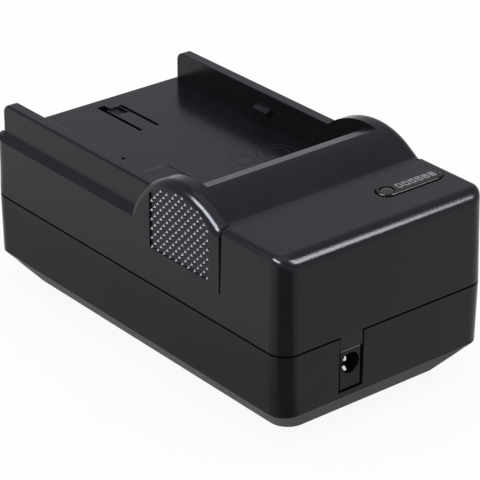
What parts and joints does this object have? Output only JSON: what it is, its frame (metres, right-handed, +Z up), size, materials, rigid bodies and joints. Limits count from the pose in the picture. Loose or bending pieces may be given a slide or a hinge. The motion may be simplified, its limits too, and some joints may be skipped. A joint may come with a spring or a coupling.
{
  "type": "camera battery charger",
  "caption": "Black plastic charger with an open bay for a camcorder battery, a rounded hump, an indicator lens, a DC jack and a fold-out mains plug.",
  "frame": {"origin": "middle of the flat underside", "axes": "+X across the width, +Y along the length from the jack end to the open end of the bay, +Z up"},
  "size_m": [0.0496, 0.09, 0.0415],
  "materials": {
    "case_plastic": "fine satin moulding texture",
    "plate_plastic": "fine satin moulding texture",
    "lens_plastic": "smoked gloss",
    "lamp_resin": "clear diffused resin",
    "jack_plastic": "satin",
    "nickel": "nickel-plated",
    "brass": "bright",
    "steel": "zinc-plated",
    "board": "solder mask",
    "ferrite": "sintered",
    "bobbin_plastic": "moulded",
    "winding_tape": "polyester tape",
    "capacitor_sleeve": "shrink sleeve",
    "component_resin": "moulded resin",
    "fuse_coat": "lacquer",
    "holder_plastic": "moulded",
    "red_wire": "insulated wire",
    "black_wire": "insulated wire",
    "white_wire": "insulated wire"
  },
  "bodies": {
    "case": {"lower_case": "case_plastic", "upper_case": "case_plastic", "battery_plate": "plate_plastic", "charge_lens": "lens_plastic", "charge_lamp": "lamp_resin", "dc_jack_housing": "jack_plastic", "dc_jack_pin": "nickel", "dc_jack_spring": "nickel", "circuit_board": "board", "transformer_core": "ferrite", "transformer_bobbin": "bobbin_plastic", "transformer_winding": "winding_tape", "input_capacitor": "capacitor_sleeve", "output_capacitor": "capacitor_sleeve", "bridge_rectifier": "component_resin", "switch_transistor": "component_resin", "optocoupler": "component_resin", "controller_chip": "component_resin", "fuse_resistor": "fuse_coat", "output_diode": "component_resin", "contact_holder": "holder_plastic", "positive_contact": "brass", "negative_contact": "brass", "signal_contact": "brass", "positive_lead": "red_wire", "negative_lead": "black_wire", "signal_lead": "white_wire", "plug_spring_left": "brass", "plug_spring_right": "brass", "case_screws": "steel", "board_screws": "steel"},
    "plug": {"plug_carrier": "case_plastic", "plug_blade_left": "nickel", "plug_blade_right": "nickel"}
  },
  "joints": [
    {"name": "plug_fold", "type": "hinge", "parent": "case", "child": "plug", "pos_m": [0, 0.014, 0.00375], "axis": [-1, 0, 0], "range_deg": [0, 90]}
  ]
}
